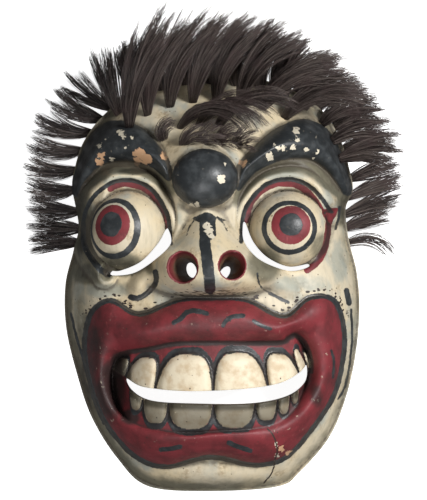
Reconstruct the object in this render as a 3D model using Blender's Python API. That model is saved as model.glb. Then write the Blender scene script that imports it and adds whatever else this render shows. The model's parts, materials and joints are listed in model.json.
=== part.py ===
"""Carved wooden theatre mask with staring eyes, bared teeth and plugged tufts of hair.

The mask lies on its flat back rim: +Z points out of the face, +Y towards the hair.
The carving is drawn in units of 1/211 of the face's length, which are millimetres at full size.
"""
import math

import bmesh
import bpy
import numpy as np
from mathutils import Matrix, Vector

# Driving sizes, in metres
FACE_LENGTH = 0.211
RIM_WALL = 0.009
ROOF_WALL = 0.008
HOLE_DIAMETER = 0.005
HOLE_DEPTH = 0.005
HOLE_SIDES = 6
PLUG_CLEARANCE = 0.0003
HAIR_ROOT_HEIGHT = 0.0095
TUFT_TIP_RADIUS = 0.0009
CARVING_SPACING = 0.0013
CARVING_TRIANGLES = 2250
PRISM_STEP = 4.0

# One drawing unit in metres
UNIT = FACE_LENGTH / 211.0

# Heights of the carving above the rim, in drawing units
SIDE_HEIGHT = 12.0
DOME_RISE = 50.0
MUZZLE_RISE = 11.0
BROW_RISE = 12.0
BALL_TOP = 78.0
NOSE_BRIDGE = 66.0
NOSE_TIP = 86.0
NOSTRIL_WING_TOP = 82.0
SOCKET_FLOOR = 47.0
EYEBALL_TOP = 73.0
EYEBALL_RADIUS = 20.0
LID_TOP = 59.0
GUM_HEIGHT = 66.5
LOWER_GUM_DROP = 2.5
CORNER_SLOPE = 1.3
TOOTH_RISE = 4.8
LIP_RISE = 8.5
LIP_CREST = 0.45
ABOVE_ALL = 110.0
# Share of a tuft that stays straight, and how far its rise is undone at the tip
STRAIGHT_SHARE = 0.13
TUFT_FALL = 1.1

# Outlines of the carving seen from the front, in drawing units
FACE_CENTRE = (-0.8, -17.8)
MUZZLE = ((-1, -65), (64, 48))
FACE_OUTLINE = [
    (-1, 89), (30, 84), (52, 72), (63, 56), (68, 40), (69.5, 30), (66, 20.5), (67.5, 5), (71.5, -11),
    (73, -30), (71, -53), (66, -75), (57.5, -95), (43, -112), (32, -119.5), (-1, -121.8), (-33.5, -119.5),
    (-49.5, -105), (-62, -85), (-69, -65), (-75, -40), (-75.5, -18), (-71.5, -1), (-68.5, 12), (-72, 30),
    (-71, 40), (-66.5, 54), (-57, 67), (-40, 81), (-20, 87.5),
]
LIP_OUTER = [
    (-1, -24), (-18, -25), (-38, -32), (-52, -25.5), (-62, -32), (-65.5, -50), (-61, -73), (-53, -90),
    (-40, -104), (-25, -109), (-9, -105), (1, -104), (20, -108), (36, -104), (51, -87), (61, -70),
    (65, -45), (60, -26), (47, -24), (34, -33), (16, -25),
]
LIP_INNER = [
    (-1, -46), (-20, -46.5), (-32, -49), (-43, -50.8), (-50, -53.5), (-53, -62), (-52, -74), (-47.5, -83),
    (-38, -89), (-22.5, -92), (-12.5, -93), (0, -92), (17.5, -90.8), (30, -88), (38.5, -81.5), (44, -73.5),
    (47.5, -66), (48.5, -57), (46.5, -49), (43, -44), (39.5, -42.3), (36, -44), (31, -46),
]
MOUTH_GAP = [
    (-44, -64.5), (-35, -68.5), (-12, -70.3), (16, -69), (32, -66.5), (42, -61.5), (45.8, -58), (45, -66.5),
    (35.5, -73.5), (17, -76.8), (-12, -76.8), (-32, -75.5), (-41.5, -70.5),
]
BROW_LEFT = [
    (-72.5, 29.5), (-69.5, 44), (-63, 58), (-52, 65), (-38, 62), (-27, 51), (-21.5, 41), (-23, 34),
    (-32, 41), (-44, 44), (-56, 42), (-64, 34), (-69, 26),
]
BROW_RIGHT = [
    (69.5, 30), (65, 46), (57.5, 60), (45, 65.5), (31, 61), (18, 50), (10, 40), (11.5, 29), (20, 38),
    (32, 44), (46, 45), (56, 39), (65, 27.5),
]
SOCKET_LEFT = [
    (-67.5, 26), (-61, 38), (-45, 43.5), (-28, 39), (-20, 26), (-19, 10), (-29, -5), (-41, -12.5),
    (-54, -13), (-64.5, -3), (-68.5, 12),
]
SOCKET_RIGHT = [
    (13, 32), (23, 41), (38, 44.8), (52, 42), (63, 29), (63.5, 20), (58, 4), (48, -9.5), (36, -10.8),
    (22, -5), (11, 8), (10, 22),
]
LID_LEFT = [(-22, 3), (-24, 18), (-33, 31), (-47, 34.5), (-60, 27), (-66, 14), (-64, 0), (-54, -13)]
LID_RIGHT = [(13, 4), (15, 20), (25, 32), (38, 35), (49, 30), (58, 19)]
EYE_LEFT = (-43.5, 9.3)
EYE_LEFT_RADII = (18.8, 19.8)
EYE_RIGHT = (36.4, 10.2)
EYE_RIGHT_RADII = (19.3, 18.9)
EYE_SLIT_LEFT = [
    (-24.5, 10), (-28.5, 3), (-37, -6), (-47, -10.5), (-51.5, -10.8), (-51.5, -13), (-40, -11.5),
    (-28.5, -4), (-22, 3), (-23, 9.5),
]
EYE_SLIT_RIGHT = [
    (15, 13.5), (19, 4), (26, -3.8), (36.5, -8.5), (46.5, -7.3), (46, -9.2), (36.5, -10.6),
    (22.5, -5.2), (14.8, 3.2), (13.8, 11),
]
BALL = (-5.0, 35.3)
BALL_RADII = (16.5, 14.8)
NOSE_TOP = (-4.2, 20.8)
NOSE_BASE = (-2.2, -8.2)
NOSTRIL_WINGS = [(-17.5, -9.3), (10.0, -8.8)]
NOSTRIL_WING_RADII = (12.8, 11.5)
# Each nostril: front centre, front radii, back centre, back radii, turn of the back end in degrees
NOSTRILS = [
    ((-16.0, -8.8), (7.3, 7.6), (-11.7, -10.3), (2.4, 3.8), 15.0),
    ((8.5, -7.8), (6.6, 7.0), (4.8, -11.8), (2.2, 3.8), -35.0),
]
# Each fold or swelling: centre, radii, turn in degrees, rise
SWELLINGS = [
    ((-61.5, -21.3), (15, 17), 0, 3.5),
    ((58.5, -20.3), (15, 17), 0, 3.5),
    ((-37, -16.3), (6, 10.5), -32, 5),
    ((30, -14.8), (17, 6.5), -32, 4.5),
    ((-1, -115.3), (34, 9), 0, 6),
]
# Widths of the teeth from left to right; the gaps between neighbours are TOOTH_GAP
UPPER_TEETH_START = -49.0
UPPER_TEETH_WIDTHS = [7, 14.2, 25, 23.6, 15.2, 4.2, 2.8]
UPPER_TEETH_ROOT = [-54, -53.4, -51.6, -50.8, -51.4, -49.3, -50.8]
LOWER_TEETH_START = -42.5
LOWER_TEETH_WIDTHS = [6, 12, 21.6, 20, 10.4, 5.6, 4]
LOWER_TEETH_ROOT = [-80.3, -86.8, -89.6, -89, -85.5, -82.3, -77]
TOOTH_GAP = 0.8
TOOTH_EDGE = -70.5
# How much wider the upper teeth grow towards their biting edge, for each unit of their height
UPPER_TEETH_SPREAD = 0.009

# Hair: name, tufts, share of the face's radius at the roots, rise, widest radius, then tufts along the row,
# each as its place around the face, the place of its tip and its turn on the way there; the rest lie between
HAIR_ROWS = [
    ("left", 9, 1.0, 0, 2.7, [
        (163, -95, 2.2, 8), (154, -97, 18.2, -10), (145, -97.5, 32.8, -26), (136, -96.5, 51.8, -38),
        (127, -92.5, 72.8, -30), (120, -76.5, 88.8, -20),
    ]),
    ("top", 11, 1.0, 0, 2.7, [
        (113, -46.5, 105.8, -14), (102, -21.5, 113.8, -28), (91, 4.5, 116.8, -32),
        (80, 28.5, 117.8, -36), (69, 57.5, 104.8, -42), (57, 83.5, 78.8, -44), (46, 95, 56.8, -34),
    ]),
    ("right", 4, 1.0, 0, 2.4, [
        (37.6, 95, 43.8, -16), (30.4, 98, 33.8, -10), (23.2, 91.5, 19.8, -6),
    ]),
    ("wisp", 1, 1.0, 0, 1.2, [
        (17.4, 92, -2.2, -75),
    ]),
    ("edge", 12, 0.95, 26, 2.9, [
        (119, -58.5, 103.8, -10), (106, -31.5, 111.8, -28), (93, -4.5, 112.8, -40),
        (80, 23.5, 115.8, -44), (67, 55.5, 106.8, -50), (55, 86.5, 72.8, -54), (45, 95.5, 49.8, -30),
    ]),
    ("crown", 8, 0.86, 40, 3.4, [
        (118, -26, 117.8, -34), (110, -12.5, 120.8, -46), (101, 8.5, 120.2, -52), (93, 20.5, 117.2, -54),
        (84, 37.5, 121.8, -56), (76, 65, 94.8, -62), (67, 79.5, 82.8, -62),
    ]),
    ("curl", 1, 0.72, 46, 1.2, [
        (109, -20, 64.8, -110),
    ]),
    ("front", 3, 0.75, 46, 1.5, [
        (102, 23.5, 60.2, -112), (95, 32.5, 66.2, -104), (88, 43.5, 72.8, -92),
    ]),
    ("fringe", 4, 0.67, 50, 1.4, [
        (102, -3.5, 60.2, -60), (81, 22.5, 56.8, -40),
    ]),
]


def smooth_line(points, closed=True, step=1.5):
    """Points of a smooth curve through the given ones, about a step apart."""
    corners = np.asarray(points, float)
    count = len(corners)
    spans = count if closed else count - 1
    pieces = []
    for index in range(spans):
        start = corners[index]
        end = corners[(index + 1) % count]
        before = corners[index - 1] if closed or index > 0 else 2 * start - end
        last = not closed and index + 2 >= count
        after = 2 * end - start if last else corners[(index + 2) % count]
        steps = max(1, round(np.linalg.norm(end - start) / step))
        t = (np.arange(steps) / steps)[:, None]
        curve = 2 * start + (end - before) * t
        curve = curve + (2 * before - 5 * start + 4 * end - after) * t ** 2
        curve = curve + (3 * start - before - 3 * end + after) * t ** 3
        pieces.append(curve / 2)
    if not closed:
        pieces.append(corners[-1:])
    return np.concatenate(pieces)


def distance_to(points, line, closed=True):
    """Distance of each point from a line of short straight pieces."""
    start = line if closed else line[:-1]
    along = (np.roll(line, -1, axis=0) if closed else line[1:]) - start
    square = np.maximum((along ** 2).sum(axis=1), 1e-12)
    nearest = np.full(len(points), np.inf)
    for first in range(0, len(points), 5000):
        offset = points[first:first + 5000, None, :] - start
        t = np.clip((offset * along).sum(axis=2) / square, 0, 1)
        gap = offset - t[..., None] * along
        nearest[first:first + 5000] = np.sqrt((gap ** 2).sum(axis=2).min(axis=1))
    return nearest


def is_inside(points, loop):
    """Whether each point lies inside a closed loop."""
    x, y = points.T
    inside = np.zeros(len(points), bool)
    for (x0, y0), (x1, y1) in zip(loop, np.roll(loop, -1, axis=0)):
        if y0 != y1:
            crosses = (y0 > y) != (y1 > y)
            inside ^= crosses & (x < (x1 - x0) * (y - y0) / (y1 - y0) + x0)
    return inside


def depth_inside(points, outline):
    """Distance inside a smooth outline, negative outside it."""
    loop = smooth_line(outline)
    return np.where(is_inside(points, loop), 1, -1) * distance_to(points, loop)


def soft_step(t):
    t = np.clip(t, 0, 1)
    return t * t * (3 - 2 * t)


def soft_max(a, b, blend):
    """The larger of two heights, with the crease between them rounded."""
    t = np.clip(0.5 + 0.5 * (a - b) / blend, 0, 1)
    return b + (a - b) * t + blend * t * (1 - t)


def ellipse_share(points, centre, radii, turn=0.0):
    """Distance from an ellipse's centre, which is 1 on the ellipse."""
    angle = math.radians(turn)
    dx, dy = (points - np.array(centre)).T
    u = dx * math.cos(angle) + dy * math.sin(angle)
    v = dy * math.cos(angle) - dx * math.sin(angle)
    return np.hypot(u / radii[0], v / radii[1])


def swelling(points, centre, radii, turn=0.0):
    return np.clip(1 - ellipse_share(points, centre, radii, turn) ** 2, 0, 1) ** 1.6


def outline_radius(angle):
    """Distance from the face's centre to its outline, by angle in radians."""
    offset = smooth_line(FACE_OUTLINE) - np.array(FACE_CENTRE)
    around = np.arctan2(offset[:, 1], offset[:, 0])
    order = np.argsort(around)
    return np.interp(angle, around[order], np.hypot(*offset.T)[order], period=2 * math.pi)


def face_share(points):
    """Distance from the face's centre as a share of the outline's."""
    dx, dy = (points - np.array(FACE_CENTRE)).T
    return np.hypot(dx, dy) / outline_radius(np.arctan2(dy, dx))


def dome(points):
    share = np.minimum(face_share(points), 0.985)
    height = SIDE_HEIGHT + DOME_RISE * (1 - share ** 3.2) ** 0.7
    return height + MUZZLE_RISE * swelling(points, *MUZZLE)


def brow(points, outline):
    share = np.clip(depth_inside(points, outline) / 9.0, 0, 1)
    return BROW_RISE * np.sin(math.pi / 2 * share) ** 0.8


def nose(points, height):
    """Raises the nose, with its ridge and its two nostril wings."""
    x, y = points.T
    down = np.clip((NOSE_TOP[1] - y) / (NOSE_TOP[1] - NOSE_BASE[1]), -0.1, 1.1)
    axis_x = NOSE_TOP[0] + (NOSE_BASE[0] - NOSE_TOP[0]) * down
    half_width = 8.5 + 13 * np.clip(down, 0, 1.1)
    ridge = NOSE_BRIDGE + (NOSE_TIP - NOSE_BRIDGE) * soft_step(down) - 13 * ((x - axis_x) / half_width) ** 2
    ridge = ridge - 0.2 * np.clip(NOSE_BASE[1] - 5 - y, 0, None) ** 2
    ridge = ridge - 0.2 * np.clip(y - NOSE_TOP[1], 0, None) ** 2
    height = soft_max(height, ridge, 5)
    for centre in NOSTRIL_WINGS:
        share = ellipse_share(points, centre, NOSTRIL_WING_RADII)
        height = soft_max(height, NOSTRIL_WING_TOP - 15 * share ** 2.2, 4)
    return height


def ball(points, height):
    share = ellipse_share(points, BALL, BALL_RADII)
    top = BALL_TOP - 14 + 14 * np.sqrt(np.clip(1 - share ** 2, 0, 1)) - 20 * np.clip(share - 1, 0, None)
    return soft_max(height, top, 1.5)


def eye(points, height, socket, lid_line, centre, radii):
    """Sinks a socket, then raises the lid and the eyeball in it."""
    sunk = soft_step(depth_inside(points, socket) / 4.5)
    around = dome(points)
    height = height * (1 - sunk) + np.minimum(SOCKET_FLOOR, around + 4) * sunk
    line = smooth_line(lid_line, closed=False)
    reach = distance_to(points, line, closed=False)
    outer = -5 * ((reach - 2.2) / 3.1) ** 2
    inner = -2.5 - 0.35 * reach - 1.5 * np.clip(reach - 4.5, 0, None) ** 2
    to_end = np.minimum(np.hypot(*(points - line[0]).T), np.hypot(*(points - line[-1]).T))
    lid = np.minimum(LID_TOP, around + 14) + np.where(is_inside(points, line), inner, outer)
    height = soft_max(height, lid - 6 * soft_step(1 - to_end / 7), 1.2)
    share = ellipse_share(points, centre, radii)
    cap = EYEBALL_RADIUS * np.sqrt(np.clip(1 - share ** 2, 0, 1))
    return np.where(share < 1, EYEBALL_TOP - EYEBALL_RADIUS + cap, height)


def tooth_shape(points):
    """Distance from the nearest tooth's middle, 1 at the tooth's edge, and how much the tooth bulges."""
    x, y = points.T
    nearest = np.full(len(points), 9.0)
    bulge = np.zeros(len(points))
    rows = [
        (UPPER_TEETH_START, UPPER_TEETH_WIDTHS, UPPER_TEETH_ROOT, 1, UPPER_TEETH_SPREAD),
        (LOWER_TEETH_START, LOWER_TEETH_WIDTHS, LOWER_TEETH_ROOT, -1, 0.0),
    ]
    for left, widths, roots, upward, spread in rows:
        narrow = x / (1 + spread * np.clip(-55 - y, -4, 13))
        for width, root in zip(widths, roots):
            across = np.abs(narrow - left - width / 2) / (width / 2)
            edge = TOOTH_EDGE - 2.5 * upward
            rise = (y - edge) / (root - edge)
            share = across ** 5 + np.clip(rise, 0, None) ** 5
            share = np.where(rise > 0, share, 9.0)
            closer = share < nearest
            nearest = np.where(closer, share, nearest)
            pillow = np.sqrt(np.clip(1 - across ** 2, 0, 1) * np.clip(1 - rise ** 4, 0, 1))
            bulge = np.where(closer, pillow, bulge)
            left += width + TOOTH_GAP
    return nearest, bulge


def mouth(points, height):
    """Raises the lips around the opening, with the gums and teeth set back in it."""
    from_rim = depth_inside(points, LIP_OUTER)
    opening = depth_inside(points, LIP_INNER)
    across = np.clip(from_rim / np.maximum(from_rim - opening, 1e-6), 0, 1)
    swell = np.sin(math.pi / 2 * np.clip(across / LIP_CREST, 0, 1)) ** 0.8
    turned_in = np.clip((across - LIP_CREST) / (1 - LIP_CREST), 0, 1) ** 1.8
    from_middle = np.abs(points[:, 0] + 1)
    lower = points[:, 1] < TOOTH_EDGE - 4
    gums = GUM_HEIGHT - 0.0085 * from_middle ** 2 - LOWER_GUM_DROP * lower
    lips = (height + LIP_RISE * swell * (from_rim > 0)) * (1 - turned_in) + (gums + 0.5) * turned_in
    share, bulge = tooth_shape(points)
    tooth = 0.45 * np.sin(math.pi / 2 * np.clip(1.6 * (1 - share), 0, 1)) + 0.55 * bulge * (share < 1)
    gums = gums - CORNER_SLOPE * np.clip(from_middle - 41, 0, 9) + TOOTH_RISE * tooth
    sunk = soft_step(opening / 1.4)
    return lips * (1 - sunk) + np.minimum(gums, height + 4) * sunk


def relief(points):
    """Height of the carved front above the rim, in drawing units."""
    height = dome(points)
    height = height + brow(points, BROW_LEFT) + brow(points, BROW_RIGHT)
    height = nose(points, height)
    height = ball(points, height)
    height = eye(points, height, SOCKET_LEFT, LID_LEFT, EYE_LEFT, EYE_LEFT_RADII)
    height = eye(points, height, SOCKET_RIGHT, LID_RIGHT, EYE_RIGHT, EYE_RIGHT_RADII)
    for centre, radii, turn, rise in SWELLINGS:
        height = height + rise * swelling(points, centre, radii, turn)
    return mouth(points, height)


def clear_scene():
    for item in list(bpy.data.objects):
        bpy.data.objects.remove(item, do_unlink=True)


def make_collection(name):
    collection = bpy.data.collections.new(name)
    bpy.context.scene.collection.children.link(collection)
    return collection


def make_material(name, colour, roughness):
    material = bpy.data.materials.new(name)
    material.use_nodes = True
    shader = material.node_tree.nodes["Principled BSDF"]
    shader.inputs["Base Color"].default_value = (*colour, 1.0)
    shader.inputs["Roughness"].default_value = roughness
    shader.inputs["Metallic"].default_value = 0.0
    return material


def add_mesh(bm, name, collection):
    """Turns a bmesh into an object in the collection."""
    bmesh.ops.recalc_face_normals(bm, faces=bm.faces)
    mesh = bpy.data.meshes.new(name)
    bm.to_mesh(mesh)
    bm.free()
    item = bpy.data.objects.new(name, mesh)
    collection.objects.link(item)
    return item


def add_prism(name, outline, low, high, collection):
    """An upright prism on a smooth closed outline, between two heights."""
    line = smooth_line(outline, step=PRISM_STEP)
    curve = bpy.data.curves.new(name, "CURVE")
    curve.dimensions = "2D"
    curve.fill_mode = "BOTH"
    curve.extrude = (high - low) * UNIT / 2
    spline = curve.splines.new("POLY")
    spline.points.add(len(line) - 1)
    for point, (x, y) in zip(spline.points, line):
        point.co = (x * UNIT, y * UNIT, 0, 1)
    spline.use_cyclic_u = True
    drawn = bpy.data.objects.new(name + "_curve", curve)
    drawn.location.z = (high + low) * UNIT / 2
    collection.objects.link(drawn)
    bpy.context.view_layer.update()
    evaluated = drawn.evaluated_get(bpy.context.evaluated_depsgraph_get())
    bm = bmesh.new()
    flat = bpy.data.meshes.new_from_object(evaluated)
    bm.from_mesh(flat)
    bpy.data.meshes.remove(flat)
    bmesh.ops.remove_doubles(bm, verts=bm.verts, dist=1e-6)
    bm.transform(drawn.matrix_world)
    bpy.data.objects.remove(drawn, do_unlink=True)
    return add_mesh(bm, name, collection)


def hide_cutter(item):
    item.display_type = "WIRE"
    item.hide_render = True
    return item


def add_block(collection):
    """A block whose top is the carved relief, before it is cut to the outline."""
    outline = smooth_line(FACE_OUTLINE)
    margin = 3
    low = outline.min(axis=0) - margin
    high = outline.max(axis=0) + margin
    middle = (low + high) / 2
    half = (high - low) / 2
    columns, rows = np.round(2 * half * UNIT / CARVING_SPACING).astype(int)
    bm = bmesh.new()
    bmesh.ops.create_grid(bm, x_segments=int(columns), y_segments=int(rows), size=1.0)
    bm.verts.ensure_lookup_table()
    plan = np.array([(v.co.x, v.co.y) for v in bm.verts]) * half + middle
    for vertex, place, height in zip(bm.verts, plan, relief(plan)):
        vertex.co = Vector((*place, height)) * UNIT
    grown = bmesh.ops.extrude_face_region(bm, geom=bm.faces)
    for element in grown["geom"]:
        if isinstance(element, bmesh.types.BMVert):
            element.co.z = -margin * UNIT
    return add_mesh(bm, "mask", collection)


def hollow_height():
    """Rise of the hollow that leaves ROOF_WALL of wood under the eye sockets."""
    socket = np.array([EYE_LEFT])
    dx, dy = (socket - np.array(FACE_CENTRE))[0]
    inner = outline_radius(math.atan2(dy, dx)) - RIM_WALL / UNIT
    profile = math.sqrt(1 - (math.hypot(dx, dy) / inner) ** 2)
    return (SOCKET_FLOOR - ROOF_WALL / UNIT) / profile


def add_hollow(collection):
    """The hollow behind the face: a squashed ball that follows the outline, a wall inside it."""
    bm = bmesh.new()
    bmesh.ops.create_uvsphere(bm, u_segments=36, v_segments=16, radius=1.0)
    rise = hollow_height()
    for vertex in bm.verts:
        x, y, z = vertex.co
        angle = math.atan2(y, x)
        reach = (outline_radius(angle) - RIM_WALL / UNIT) * math.hypot(x, y)
        plan = np.array(FACE_CENTRE) + reach * np.array((math.cos(angle), math.sin(angle)))
        height = rise * z + MUZZLE_RISE * z * swelling(plan[None], *MUZZLE)[0]
        vertex.co = Vector((*plan, height if z > 0 else 20 * z)) * UNIT
    return add_mesh(bm, "hollow_cutter", collection)


def add_nostril(index, nostril, collection):
    """A tapering hole from the nostril back and inward into the hollow."""
    front, front_radii, back, back_radii, turn = nostril
    front_height = NOSTRIL_WING_TOP
    back_height = SOCKET_FLOOR - 2
    bm = bmesh.new()
    bmesh.ops.create_cone(bm, cap_ends=True, segments=20, radius1=1.0, radius2=1.0, depth=2.0)
    angle = math.radians(turn)
    for vertex in bm.verts:
        x, y, z = vertex.co
        wide = Vector((front[0] + x * front_radii[0], front[1] + y * front_radii[1], front_height))
        u = x * back_radii[0]
        v = y * back_radii[1]
        narrow = Vector((
            back[0] + u * math.cos(angle) - v * math.sin(angle),
            back[1] + u * math.sin(angle) + v * math.cos(angle),
            back_height,
        ))
        beyond = 1.25 if z > 0 else -0.4
        vertex.co = (narrow + (wide - narrow) * beyond) * UNIT
    return add_mesh(bm, "nostril_cutter_%d" % (index + 1), collection)


def tuft_path(bend, rise):
    """Points along a tuft of length 1 that leaves its hole straight, then turns and comes down."""
    steps = 40
    share = (np.arange(steps) + 0.5) / steps
    turned = np.clip((share - STRAIGHT_SHARE) / (1 - STRAIGHT_SHARE), 0, 1)
    way = np.radians(bend * turned)
    lift = np.radians(rise * (1 - TUFT_FALL * turned))
    along = np.stack([np.cos(lift) * np.cos(way), np.cos(lift) * np.sin(way), np.sin(lift)], axis=1)
    return np.concatenate([np.zeros((1, 3)), np.cumsum(along, axis=0) / steps])


def tuft_frame(row, index):
    """Root, heading, turn, rise and length of one tuft, in drawing units and degrees."""
    name, count, share, rise, widest, keys = row
    at = index / max(count - 1, 1) * (len(keys) - 1)
    place, tip_x, tip_y, bend = [np.interp(at, range(len(keys)), values) for values in zip(*keys)]
    angle = math.radians(place)
    reach = outline_radius(angle) * share
    plan = np.array(FACE_CENTRE) + reach * np.array((math.cos(angle), math.sin(angle)))
    end = tuft_path(bend, rise)[-1]
    chord = np.array((tip_x, tip_y)) - plan
    heading = math.degrees(math.atan2(chord[1], chord[0]) - math.atan2(end[1], end[0]))
    length = np.hypot(*chord) / np.hypot(end[0], end[1])
    height = relief(plan[None])[0] if share < 1 else HAIR_ROOT_HEIGHT / UNIT
    return np.array((*plan, height)), heading, bend, rise, length


def tuft_line(root, heading, bend, rise, length, distances):
    """Points along a tuft at the given distances from its root, which are negative in its hole."""
    path = tuft_path(bend, rise) * length
    turn = math.radians(heading)
    across = np.array([(math.cos(turn), math.sin(turn), 0), (-math.sin(turn), math.cos(turn), 0), (0, 0, 1)])
    path = path @ across
    reach = np.linspace(0, length, len(path))
    line = [np.interp(np.maximum(distances, 0), reach, path[:, axis]) for axis in range(3)]
    along = path[1] / np.linalg.norm(path[1])
    return root + np.stack(line, axis=1) + np.minimum(distances, 0)[:, None] * along


def add_tuft(name, frame, widest, material, collection):
    """A tuft of hair: a round plug in its hole, then a curved spindle."""
    root, heading, bend, rise, length = frame
    plug = (HOLE_DIAMETER / 2 - PLUG_CLEARANCE) / UNIT
    depth = (HOLE_DEPTH - PLUG_CLEARANCE) / UNIT
    stations = [
        (-depth, plug),
        (length * STRAIGHT_SHARE, plug),
        (length * 0.35, widest),
        (length * 0.6, widest),
        (length * 0.83, widest * 0.85),
        (length, TUFT_TIP_RADIUS / UNIT),
    ]
    distances = np.array([distance for distance, radius in stations])
    line = tuft_line(root, heading, bend, rise, length, distances)
    curve = bpy.data.curves.new(name, "CURVE")
    curve.dimensions = "3D"
    curve.bevel_depth = 1.0
    curve.bevel_resolution = 1
    curve.use_fill_caps = True
    spline = curve.splines.new("POLY")
    spline.points.add(len(stations) - 1)
    for point, place, (distance, radius) in zip(spline.points, line, stations):
        point.co = (*(place * UNIT), 1)
        point.radius = radius * UNIT
    drawn = bpy.data.objects.new(name + "_curve", curve)
    collection.objects.link(drawn)
    bpy.context.view_layer.update()
    evaluated = drawn.evaluated_get(bpy.context.evaluated_depsgraph_get())
    bm = bmesh.new()
    tube = bpy.data.meshes.new_from_object(evaluated)
    bm.from_mesh(tube)
    bpy.data.meshes.remove(tube)
    bmesh.ops.remove_doubles(bm, verts=bm.verts, dist=1e-6)
    bpy.data.objects.remove(drawn, do_unlink=True)
    item = add_mesh(bm, name, collection)
    item.data.shade_smooth()
    item.data.materials.append(material)
    return item


def add_hair(hair, pieces, cutters):
    """All the tufts, and the one cutter that drills their holes."""
    drill = bmesh.new()
    outside = 0.006
    hole_corner = HOLE_DIAMETER / 2 / math.cos(math.pi / HOLE_SIDES)
    for row in HAIR_ROWS:
        name, count, share, rise, widest, keys = row
        for index in range(count):
            frame = tuft_frame(row, index)
            add_tuft("hair_%s_%02d" % (name, index + 1), frame, widest, hair, pieces)
            start, end = tuft_line(*frame, np.array([0.0, 1.0]))
            along = Vector(end - start).normalized()
            turn = along.to_track_quat("Z", "Y").to_matrix().to_4x4()
            middle = Vector(start * UNIT) + along * (outside - HOLE_DEPTH) / 2
            bmesh.ops.create_cone(
                drill,
                cap_ends=True,
                segments=HOLE_SIDES,
                radius1=hole_corner,
                radius2=hole_corner,
                depth=HOLE_DEPTH + outside,
                matrix=Matrix.Translation(middle) @ turn,
            )
    return hide_cutter(add_mesh(drill, "hair_hole_cutter", cutters))


def cut(item, cutter, operation="DIFFERENCE", resolve_folds=False):
    modifier = item.modifiers.new(cutter.name, "BOOLEAN")
    modifier.operation = operation
    modifier.object = cutter
    modifier.solver = "EXACT"
    modifier.use_self = resolve_folds


def main():
    clear_scene()
    pieces = make_collection("theatre_mask")
    cutters = make_collection("cutters")
    wood = make_material("painted_wood", (0.58, 0.50, 0.37), 0.6)
    hair = make_material("hair", (0.03, 0.024, 0.02), 0.6)
    mask = add_block(pieces)
    mask.data.materials.append(wood)
    carving = mask.modifiers.new("carving", "DECIMATE")
    carving.ratio = CARVING_TRIANGLES / (2 * len(mask.data.polygons))
    outline = hide_cutter(add_prism("outline_cutter", FACE_OUTLINE, 0, ABOVE_ALL, cutters))
    cut(mask, outline, "INTERSECT", resolve_folds=True)
    cut(mask, hide_cutter(add_hollow(cutters)))
    for name, outline in (
        ("mouth_cutter", MOUTH_GAP),
        ("left_slit_cutter", EYE_SLIT_LEFT),
        ("right_slit_cutter", EYE_SLIT_RIGHT),
    ):
        cut(mask, hide_cutter(add_prism(name, outline, SIDE_HEIGHT, ABOVE_ALL, cutters)))
    for index, nostril in enumerate(NOSTRILS):
        cut(mask, hide_cutter(add_nostril(index, nostril, cutters)))
    cut(mask, add_hair(hair, pieces, cutters))


main()
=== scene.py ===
"""Looks of the carved theatre mask: fine carving, worn paint and strands of hair."""

import json
import math
from collections import namedtuple

import bmesh
import bpy
import numpy as np
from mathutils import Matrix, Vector, geometry

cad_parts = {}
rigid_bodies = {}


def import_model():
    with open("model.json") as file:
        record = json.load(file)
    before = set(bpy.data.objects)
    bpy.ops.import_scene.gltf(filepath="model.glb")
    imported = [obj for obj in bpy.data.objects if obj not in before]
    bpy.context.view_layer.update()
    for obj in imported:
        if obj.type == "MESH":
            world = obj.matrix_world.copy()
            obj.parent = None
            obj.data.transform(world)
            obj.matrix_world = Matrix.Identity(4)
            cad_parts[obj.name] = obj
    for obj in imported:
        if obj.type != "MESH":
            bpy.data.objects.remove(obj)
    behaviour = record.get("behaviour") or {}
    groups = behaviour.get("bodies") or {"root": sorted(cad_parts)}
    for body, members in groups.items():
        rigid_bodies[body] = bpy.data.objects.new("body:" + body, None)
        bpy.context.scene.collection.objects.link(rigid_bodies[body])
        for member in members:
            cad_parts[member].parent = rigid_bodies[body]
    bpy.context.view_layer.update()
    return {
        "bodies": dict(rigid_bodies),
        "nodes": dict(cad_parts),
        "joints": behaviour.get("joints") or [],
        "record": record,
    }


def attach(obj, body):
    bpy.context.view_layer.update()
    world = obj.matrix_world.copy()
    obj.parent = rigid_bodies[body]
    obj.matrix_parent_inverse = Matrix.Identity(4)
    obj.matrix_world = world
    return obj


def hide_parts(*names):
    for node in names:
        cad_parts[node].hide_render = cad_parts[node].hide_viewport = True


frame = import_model()

# Sizes of the solids, in drawing units, which are millimetres
UNIT = 0.001
RIM_WALL = 9.0
ROOF_WALL = 8.0
SIDE_HEIGHT = 12.0
DOME_RISE = 50.0
MUZZLE_RISE = 11.0
BROW_RISE = 12.0
BALL_TOP = 78.0
NOSE_TIP = 86.0
NOSTRIL_WING_TOP = 82.0
SOCKET_FLOOR = 47.0
EYEBALL_TOP = 73.0
EYEBALL_RADIUS = 20.0
LID_TOP = 59.0
GUM_HEIGHT = 66.5
LOWER_GUM_DROP = 2.5
CORNER_SLOPE = 1.3
TOOTH_RISE = 4.8
LIP_RISE = 8.5
LIP_CREST = 0.45
HAIR_ROOT_HEIGHT = 9.5
STRAIGHT_SHARE = 0.13
TUFT_FALL = 1.1

# Spacing of the fine mesh, in drawing units
FRONT_SPACING = 0.78
BACK_SPACING = 3.2
SEED = 7

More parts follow.
